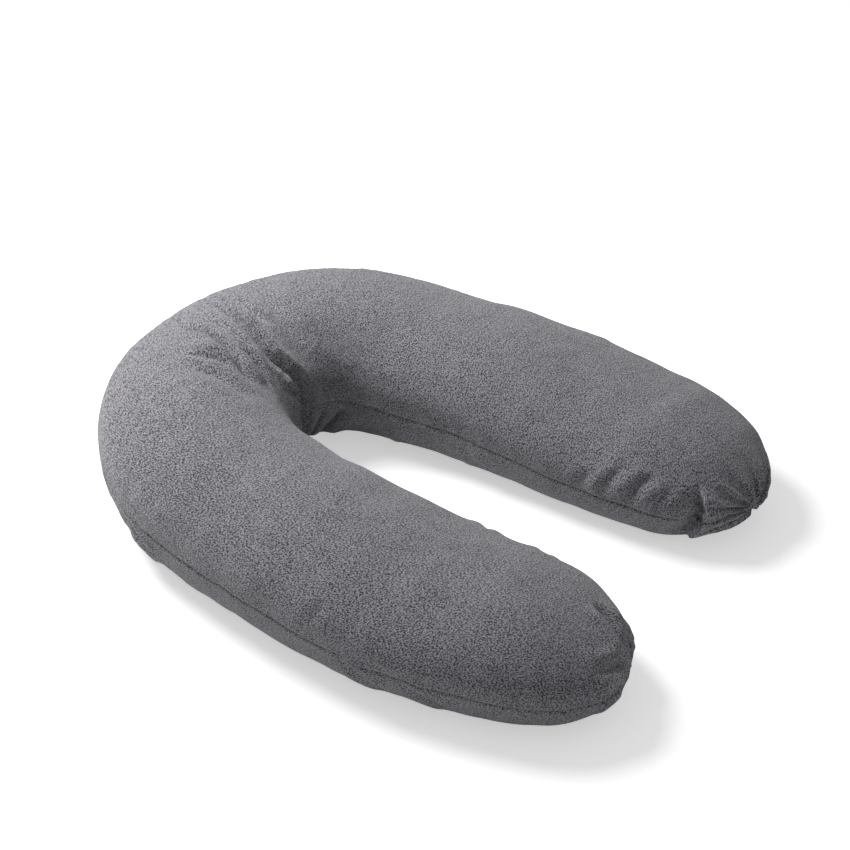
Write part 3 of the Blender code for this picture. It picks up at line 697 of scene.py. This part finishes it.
def rods_along(name, paths, sizes, across, material):
    """Rounded rods at even steps along the paths. Stitches lie along them, and zip teeth stand across."""
    tree = bpy.data.node_groups.new(name + "_maker", "GeometryNodeTree")
    tree.interface.new_socket("Path", in_out="INPUT", socket_type="NodeSocketGeometry")
    sockets = {}
    for label in ("Pitch", "Length", "Radius"):
        socket = tree.interface.new_socket(label, in_out="INPUT", socket_type="NodeSocketFloat")
        sockets[label] = socket.identifier
    tree.interface.new_socket("Rods", in_out="OUTPUT", socket_type="NodeSocketGeometry")
    given, result = tree.nodes.new("NodeGroupInput"), tree.nodes.new("NodeGroupOutput")
    curve = add_node(tree, "GeometryNodeMeshToCurve", {}, n0=given.outputs["Path"])
    spaced = add_node(tree, "GeometryNodeResampleCurve", {"mode": "LENGTH"}, Curve=curve.outputs[0])
    connect(tree, spaced, Length=given.outputs["Pitch"])
    along = add_node(tree, "GeometryNodeInputTangent").outputs[0]
    settings = {"axis": "X" if across else "Z", "pivot_axis": "Z" if across else "AUTO"}
    turn = add_node(tree, "FunctionNodeAlignRotationToVector", settings, Vector=along)
    rod = add_node(tree, "GeometryNodeMeshUVSphere", {}, Segments=8, Rings=6, Radius=1.0)
    half = add_node(tree, "ShaderNodeMath", {"operation": "MULTIPLY"}, n0=given.outputs["Length"], n1=0.5)
    radius = given.outputs["Radius"]
    size = add_node(tree, "ShaderNodeCombineXYZ", {}, X=radius, Y=radius, Z=half.outputs[0])
    rods = add_node(tree, "GeometryNodeInstanceOnPoints", {}, Points=spaced.outputs[0])
    connect(tree, rods, Instance=rod.outputs[0], Rotation=turn.outputs[0], Scale=size.outputs[0])
    real = add_node(tree, "GeometryNodeRealizeInstances", {}, n0=rods.outputs[0])
    rounded = add_node(tree, "GeometryNodeSetShadeSmooth", {}, n0=real.outputs[0])
    finished = add_node(tree, "GeometryNodeSetMaterial", {}, n0=rounded.outputs[0], Material=material)
    connect(tree, result, n0=finished.outputs[0])
    points, edges = [], []
    for path in paths:
        edges += [(len(points) + n, len(points) + n + 1) for n in range(len(path) - 1)]
        points += [tuple(map(float, point)) for point in path]
    mesh = bpy.data.meshes.new(name + "_path")
    mesh.from_pydata(points, edges, [])
    guide = bpy.data.objects.new(name + "_path", mesh)
    bpy.context.scene.collection.objects.link(guide)
    maker = guide.modifiers.new("maker", "NODES")
    maker.node_group = tree
    for label, value in zip(("Pitch", "Length", "Radius"), sizes):
        maker[sockets[label]] = float(value)
    graph = bpy.context.evaluated_depsgraph_get()
    made = bpy.data.meshes.new_from_object(guide.evaluated_get(graph))
    bpy.data.objects.remove(guide, do_unlink=True)
    return add_piece(name, made, material)


def seam_path(depth, zip_angle, lower):
    """Points of a seam from one end of its zip, round both tips, to the zip's other end."""
    found = []
    for p in (-lower, 180 + lower):
        near = Layer(p - 0.6, p + 0.6, SEAM_ROWS, SEAM_COLUMNS, depth)
        found.append((near.s[:, SEAM_COLUMNS // 2], near.points[:, SEAM_COLUMNS // 2]))
    (s, outer), (_, inner) = found
    zone = BEND_RADIUS * np.radians(zip_angle) + 0.002
    return [*outer[s > zone], *inner[::-1], *outer[s < -zone]]


BAG_THREAD = thread_material("bag_thread", (0.88, 0.88, 0.86))
path = seam_path(BAG_DEPTH + 0.0003, BAG_ZIP_ANGLE, 0)
stitches = rods_along("bag_seam_stitches", [path], BAG_STITCH, False, BAG_THREAD)
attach(stitches, "pillow")
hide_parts("inner_bag_seam_thread")

# The bag's safety zip: white nylon coils sewn to woven tapes. Its slider has no pull tab, so that a child
# can't open it.
BAG_TOOTH = (0.0014, 0.0013, 0.00033)  # pitch, length across the zip, and radius
BAG_TEETH = (28.2, 0.00415, 0.0009)  # half angle, depth, and height from the middle of the zip


def wall_point(s, e, depth, z):
    """A point beside a zip: at station s, a height e above z, and a depth under the cover's outside."""
    fine = np.linspace(-60, 60, 600)
    side, up = outline(fine)
    centre, out, half, base, height = slices(s, 0.0)
    p = np.interp((z + e - base) / height, up, fine)
    return places(np.array(s), np.array(p)) - np.array([*out, 0]) * depth


def zip_rows(name, z, place, sizes, material, replaced):
    """The two rows of teeth of a coil zip, the lower one half a step on."""
    angle, depth, offset = place
    for word, way in (("upper", 1), ("lower", -1)):
        turn = np.radians(np.linspace(-angle, angle, 160)) + (way < 0) * sizes[0] / 2 / BEND_RADIUS
        rows = [wall_point(t * BEND_RADIUS, way * offset, depth, z) for t in turn]
        row = rods_along(f"{name}_{word}", [rows], sizes, True, material)
        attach(row, "pillow")
        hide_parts(f"{replaced}_{word}")


def nylon_material(name, color):
    """Moulded nylon coil, faintly cloudy, with a soft shine."""
    material, tree, shader = new_material(name)
    place = object_place(tree)
    cloud = add_node(tree, "ShaderNodeTexNoise", {}, Vector=place, Scale=700.0, Detail=2.0)
    shade = color_mix(tree, cloud.outputs["Fac"], (*(c * 0.75 for c in color), 1), (*color, 1))
    rough = math(tree, "MULTIPLY_ADD", cloud.outputs["Fac"], 0.2, 0.28)
    bump = add_node(tree, "ShaderNodeBump", {}, Height=cloud.outputs["Fac"], Strength=0.2, Distance=0.0001)
    connect(tree, shader, Base_Color=shade, Roughness=rough, Normal=bump.outputs[0])
    return material


def dress(node, material):
    """Gives a CAD node its material."""
    slots = frame["nodes"][node].data.materials
    slots.clear()
    slots.append(material)


BAG_NYLON = nylon_material("bag_zip_nylon", (0.84, 0.84, 0.82))
BAG_TAPE = woven_material("bag_zip_tape", (0.58, 0.58, 0.56), (0.84, 0.84, 0.82), 0.0006, 0.8, None)
low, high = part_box("inner_bag_zip_coil_upper"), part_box("inner_bag_zip_coil_lower")
BAG_Z = (low[0].z + high[1].z) / 2
zip_rows("bag_zip_teeth", BAG_Z, BAG_TEETH, BAG_TOOTH, BAG_NYLON, "inner_bag_zip_coil")
for part in ("top_stop_upper", "top_stop_lower", "bottom_stop", "slider"):
    dress("inner_bag_zip_" + part, BAG_NYLON)
for word in ("upper", "lower"):
    dress("inner_bag_zip_tape_" + word, BAG_TAPE)

# The jersey cover: two U-shaped panels of heathered grey cotton knit, sewn face to face round both tips and
# turned right side out. It is too long for the inside of the bend, so it folds there, and it is loose at the
# tips.
TOP_SIZE = (660, 134)  # rows and columns of points
BOTTOM_SIZE = (600, 104)
SEAM_GROOVE = 0.0013
SEAM_GROOVE_WIDTH = 0.0019
TURNED_IN = (0.0008, 0.0022, 0.0036)  # how far the cloth goes in, step by step, at a seam and at the zip
TURNED_IN_AT_ZIP = (0.0003, 0.0007, 0.0010)
GRAIN_SLOPE = 0.75  # the fibres lie this far off the length of the arms
GRAIN_TURN = 0.2  # the length over which they change sides at the bend
DARK_YARN = (0.030, 0.029, 0.033)
LIGHT_YARN = (0.385, 0.376, 0.405)


def heather_group():
    """Knit in two shades of yarn: short fibres, light and dark, over rows of knitted loops."""
    group = bpy.data.node_groups.new("heathered_knit", "ShaderNodeTree")
    add_sockets(group, "INPUT", (("Cloth", "Vector"), ("Place", "Vector"), ("Dark Yarn", "Color")))
    add_sockets(group, "INPUT", (("Light Yarn", "Color"), ("Streak", "Float")))
    add_sockets(group, "INPUT", (("Fibre", "Float"), ("Wale", "Float")))
    add_sockets(group, "OUTPUT", (("Color", "Color"), ("Height", "Float"), ("Roughness", "Float")))
    given, result = group.nodes.new("NodeGroupInput"), group.nodes.new("NodeGroupOutput")
    stretch = add_node(group, "ShaderNodeMapping", {}, Vector=given.outputs["Cloth"], Scale=(0.55, 1, 1))
    place = given.outputs["Place"]
    flat = {"noise_dimensions": "2D"}
    streaks = add_node(group, "ShaderNodeTexNoise", flat, Vector=stretch.outputs[0], Detail=1.5)
    grain = add_node(group, "ShaderNodeTexNoise", {}, Vector=place, Detail=2.0, Roughness=0.65)
    for noise in (streaks, grain):
        connect(group, noise, Scale=given.outputs["Fibre"])
    both = add_node(group, "ShaderNodeMix", {}, n0=given.outputs["Streak"], n2=grain.outputs[0])
    connect(group, both, n3=streaks.outputs[0])
    shade = add_node(group, "ShaderNodeMapRange", {}, Value=both.outputs[0], From_Min=0.42, From_Max=0.58)
    cloudy = add_node(group, "ShaderNodeTexNoise", {}, Vector=place, Scale=45.0, Detail=4.0)
    drift = math(group, "MULTIPLY_ADD", cloudy.outputs["Fac"], 0.30, -0.15)
    level = math(group, "ADD", shade.outputs[0], drift, 0.0, True)
    parts = add_node(group, "ShaderNodeSeparateXYZ", {}, Vector=given.outputs["Cloth"])
    turns = math(group, "DIVIDE", FULL_TURN, given.outputs["Wale"])
    rows = math(group, "MULTIPLY", math(group, "MULTIPLY", parts.outputs["X"], turns), 1.2)
    rows = math(group, "SINE", rows)
    wales = math(group, "SINE", math(group, "MULTIPLY", parts.outputs["Y"], turns))
    height = math(group, "MULTIPLY_ADD", level, 1.6, math(group, "MULTIPLY", rows, wales))
    rough = add_node(group, "ShaderNodeMapRange", {}, Value=level, To_Min=0.98, To_Max=0.86)
    color = color_mix(group, level, given.outputs["Dark Yarn"], given.outputs["Light Yarn"])
    connect(group, result, Color=color, Height=height, Roughness=rough.outputs[0])
    return group


JERSEY, tree, shader = new_material("heathered_jersey")
knit = add_node(tree, "ShaderNodeGroup", {"node_tree": heather_group()})
cloth = add_node(tree, "ShaderNodeUVMap", {"uv_map": "cloth"}).outputs["UV"]
place = object_place(tree)
connect(tree, knit, Cloth=cloth, Place=place, Dark_Yarn=(*DARK_YARN, 1), Light_Yarn=(*LIGHT_YARN, 1))
connect(tree, knit, Streak=0.45, Fibre=540.0, Wale=0.0012)
bump = add_node(tree, "ShaderNodeBump", {}, Height=knit.outputs["Height"], Strength=0.5, Distance=0.0005)
connect(tree, shader, Base_Color=knit.outputs["Color"], Roughness=knit.outputs["Roughness"])
connect(tree, shader, Normal=bump.outputs["Normal"], Sheen_Weight=0.30, Sheen_Roughness=0.45)
connect(tree, shader, Specular_IOR_Level=0.2)


def sew(layer):
    """Draws the cloth in at its seams, with a low ridge beside them and small puckers along them."""
    sewn = 1 - layer.zip_zone
    dip = -SEAM_GROOVE * np.exp(-((layer.seam / SEAM_GROOVE_WIDTH) ** 2))
    dip += 0.0005 * np.exp(-(((layer.seam - 0.0052) / 0.0026) ** 2))
    pucker = np.exp(-layer.seam / 0.012) * (1 - np.exp(-layer.seam / 0.002))
    dip += 0.0012 * pucker * waves(layer.smooth_points * (1, 1, 0.2), 0.016, 5)
    lift = dip * sewn * smooth(layer.smooth_points[..., 2], 0.001, 0.012)
    layer.points = layer.points + layer.normal * lift[..., None]
    layer.points[..., 2] = np.maximum(layer.points[..., 2], 0.0004)


for word, first, last, size in (
    ("top", -SEAM_ANGLE, 180 + SEAM_ANGLE, TOP_SIZE),
    ("bottom", 180 + SEAM_ANGLE, 370 - SEAM_ANGLE, BOTTOM_SIZE),
):
    layer = Layer(first, last, *size, 0.0, 0.0002, ZIP_GAP, COVER_ZIP_ANGLE)
    sew(layer)
    grid = turned_in(layer, TURNED_IN, TURNED_IN_AT_ZIP)
    middle = np.repeat(layer.length[:, size[1] // 2, None], size[1], axis=1)
    slant = np.sqrt(middle**2 + GRAIN_TURN**2)
    length = middle + GRAIN_SLOPE * layer.around * middle / slant
    around = layer.around - GRAIN_SLOPE * slant
    mesh = grid_mesh("cover_" + word, grid, widen(length, 3, 0.0), widen(around, 3))
    panel = add_piece("cover_" + word, mesh, JERSEY)
    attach(panel, "pillow")
    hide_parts(f"cover_{word}_panel")

# The cover's seam: grey polyester thread, buried between the two turned-in edges, from one end of the zip
# round both tips to its other end.
COVER_STITCH = (0.0030, 0.0023, 0.00034)
COVER_THREAD = thread_material("cover_thread", (0.085, 0.084, 0.094))
path = seam_path(0.0022, COVER_ZIP_ANGLE, SEAM_ANGLE)
stitches = rods_along("cover_seam_stitches", [path], COVER_STITCH, False, COVER_THREAD)
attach(stitches, "pillow")
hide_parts("cover_seam_thread")

# The cover's zip, round the outside of the bend: dark nylon coils on woven tapes, metal stops, and two rows
# of topstitching that hold the tapes to the panels.
TOOTH = (0.0015, 0.0014, 0.00042)
TEETH = (43.2, 0.0004, 0.00098)
TOPSTITCH = (0.0029, 0.0023, 0.00028)
TOPSTITCH_ANGLE, TOPSTITCH_OFFSET, TOPSTITCH_DEPTH = 44.5, 0.006, -0.00015
NYLON = nylon_material("zip_coil_nylon", (0.05, 0.05, 0.056))
TAPE = woven_material("zip_tape_cloth", (0.035, 0.035, 0.04), (0.11, 0.11, 0.12), 0.0006, 0.85, None)
low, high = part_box("cover_zip_coil_upper"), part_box("cover_zip_coil_lower")
COVER_Z = (low[0].z + high[1].z) / 2
zip_rows("cover_zip_teeth", COVER_Z, TEETH, TOOTH, NYLON, "cover_zip_coil")
for word, way in (("upper", 1), ("lower", -1)):
    dress("cover_zip_tape_" + word, TAPE)
    turn = np.radians(np.linspace(-TOPSTITCH_ANGLE, TOPSTITCH_ANGLE, 160))
    path = [wall_point(t * BEND_RADIUS, way * TOPSTITCH_OFFSET, TOPSTITCH_DEPTH, COVER_Z) for t in turn]
    stitches = rods_along("cover_zip_topstitch_" + word, [path], TOPSTITCH, False, COVER_THREAD)
    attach(stitches, "pillow")
    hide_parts("cover_zip_stitch_" + word)

# The zip's slider and pull tab: cast zinc alloy with a satin nickel finish, their edges rounded by tumbling.
EDGE_ROUNDING = 0.00018


def metal_material(name, color):
    """Satin plated metal, with fine brushing and a slightly worn, patchy tone."""
    material, tree, shader = new_material(name)
    place = object_place(tree)
    stretch = add_node(tree, "ShaderNodeMapping", {}, Vector=place, Scale=(1, 1, 8))
    brushing = add_node(tree, "ShaderNodeTexNoise", {}, Vector=stretch.outputs[0], Scale=900.0, Detail=3.0)
    wear = add_node(tree, "ShaderNodeTexNoise", {}, Vector=place, Scale=260.0, Detail=3.0)
    shade = color_mix(tree, wear.outputs["Fac"], (*(c * 0.7 for c in color), 1), (*color, 1))
    rough = math(tree, "MULTIPLY_ADD", brushing.outputs["Fac"], 0.25, 0.22)
    scratches = brushing.outputs["Fac"]
    bump = add_node(tree, "ShaderNodeBump", {}, Height=scratches, Strength=0.15, Distance=0.0001)
    connect(tree, shader, Base_Color=shade, Roughness=rough, Normal=bump.outputs[0], Metallic=1.0)
    return material


NICKEL = metal_material("satin_nickel", (0.66, 0.65, 0.63))
for part in ("top_stop_upper", "top_stop_lower", "bottom_stop"):
    dress("cover_zip_" + part, NICKEL)
for node in ("cover_zip_slider", "cover_zip_pull_tab"):
    mesh = frame["nodes"][node].data.copy()
    work = bmesh.new()
    work.from_mesh(mesh)
    bmesh.ops.remove_doubles(work, verts=work.verts, dist=0.000005)
    bmesh.ops.dissolve_limit(work, angle_limit=np.radians(2), verts=work.verts, edges=work.edges)
    work.to_mesh(mesh)
    work.free()
    metal = add_piece(node + "_cast", mesh, NICKEL)
    rounding = metal.modifiers.new("rounding", "BEVEL")
    rounding.width = EDGE_ROUNDING
    rounding.segments = 2
    rounding.limit_method = "ANGLE"
    rounding.angle_limit = np.radians(35)
    graph = bpy.context.evaluated_depsgraph_get()
    rounded = bpy.data.meshes.new_from_object(metal.evaluated_get(graph))
    metal.modifiers.clear()
    metal.data = rounded
    rounded.shade_smooth()
    rounded.set_sharp_from_angle(angle=np.radians(40))
    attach(metal, node)
    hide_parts(node)

# The care label: a blank strip of white satin ribbon inside the cover, caught in its seam on the right arm.
# It is one sheet that goes down the outside and comes back up the inside, and its ends are closed.
LABEL_FROM, LABEL_TO, LABEL_ANGLE = 0.214, 0.252, 26
LABEL_DEPTHS = (0.0017, 0.0020)
SATIN = woven_material("label_satin", (0.70, 0.70, 0.68), (0.90, 0.90, 0.88), 0.0004, 0.5)


def there_and_back(first, second):
    """Columns of one sheet, then of the other in reverse, and the first column again."""
    return np.concatenate([first, second[:, ::-1], first[:, :1]], axis=1)


sides = []
for depth in LABEL_DEPTHS:
    whole = Layer(-SEAM_ANGLE, 40, 1400, 30, depth, 0.0008)
    rows = (whole.s[:, 0] > LABEL_FROM) & (whole.s[:, 0] < LABEL_TO)
    columns = whole.p[rows][0] < LABEL_ANGLE
    sides.append(whole.points[rows][:, columns])
    cloth = whole.length[rows][:, columns], whole.around[rows][:, columns]
grid = there_and_back(*sides)
ends = [np.repeat(grid[[row]].mean(1, keepdims=True), grid.shape[1], axis=1) for row in (0, -1)]
grid = np.concatenate([ends[0], grid, ends[1]])
length, around = (np.pad(there_and_back(way, way), ((1, 1), (0, 0)), "edge") for way in cloth)
mesh = grid_mesh("blank_care_label", grid, length, around)
label = add_piece("blank_care_label", mesh, SATIN)
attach(label, "pillow")
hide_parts("care_label")

# The studio: a white sweep that is lit until it is pure white, the camera, and one large soft light behind
# the bend. The sweep glows more for the camera than for the pillow.
SWEEP_GLOW, SWEEP_GLOW_SEEN = 0.04, 0.46
AZIMUTH, ELEVATION = np.radians(-55.83), np.radians(36.42)
DISTANCE = 3.010
AIM = (0.0188, -0.1366, 0.1451)  # from the bend's axis
VIEW_ANGLE = np.radians(22.436)
KEY_SIZE, KEY_POWER = 1.1, 50
KEY_PLACE, KEY_AIM = Vector((-0.02, 1.30, 1.58)), Vector((0, 0.1, 0.1))
ROOM_COLOR, ROOM_LIGHT = (0.95, 0.97, 1.0, 1), 0.29

floor = bpy.data.meshes.new("floor")
floor.from_pydata([(-30, -30, 0), (30, -30, 0), (30, 30, 0), (-30, 30, 0)], [], [(0, 1, 2, 3)])
material, tree, shader = new_material("white_sweep")
place = object_place(tree)
paper = add_node(tree, "ShaderNodeTexNoise", {}, Vector=place, Scale=60.0)
white = color_mix(tree, paper.outputs["Fac"], (0.925, 0.915, 0.91, 1), (0.935, 0.925, 0.92, 1))
seen = add_node(tree, "ShaderNodeLightPath").outputs["Is Camera Ray"]
glow = math(tree, "MULTIPLY_ADD", seen, SWEEP_GLOW_SEEN, SWEEP_GLOW)
connect(tree, shader, Base_Color=white, Roughness=0.95, Specular_IOR_Level=0.1)
connect(tree, shader, Emission_Color=(1.0, 0.985, 0.98, 1), Emission_Strength=glow)
add_piece("floor", floor, material)

level = Vector((np.sin(AZIMUTH), -np.cos(AZIMUTH), 0))
back = level * np.cos(ELEVATION) + Vector((0, 0, np.sin(ELEVATION)))
camera = bpy.data.objects.new("camera", bpy.data.cameras.new("camera"))
camera.data.angle = VIEW_ANGLE
camera.location = Vector(BEND_AXIS) + Vector(AIM) + back * DISTANCE
camera.rotation_euler = back.to_track_quat("Z", "Y").to_euler()
bpy.context.scene.collection.objects.link(camera)
bpy.context.scene.camera = camera

key = bpy.data.objects.new("key_softbox", bpy.data.lights.new("key_softbox", "AREA"))
key.data.shape = "DISK"
key.data.size = KEY_SIZE
key.data.energy = KEY_POWER
key.location = KEY_PLACE
key.rotation_euler = (KEY_PLACE - KEY_AIM).to_track_quat("Z", "Y").to_euler()
bpy.context.scene.collection.objects.link(key)
world = bpy.data.worlds.new("studio")
world.use_nodes = True
connect(world.node_tree, world.node_tree.nodes["Background"], Color=ROOM_COLOR, Strength=ROOM_LIGHT)
bpy.context.scene.world = world
bpy.context.scene.view_settings.view_transform = "Standard"
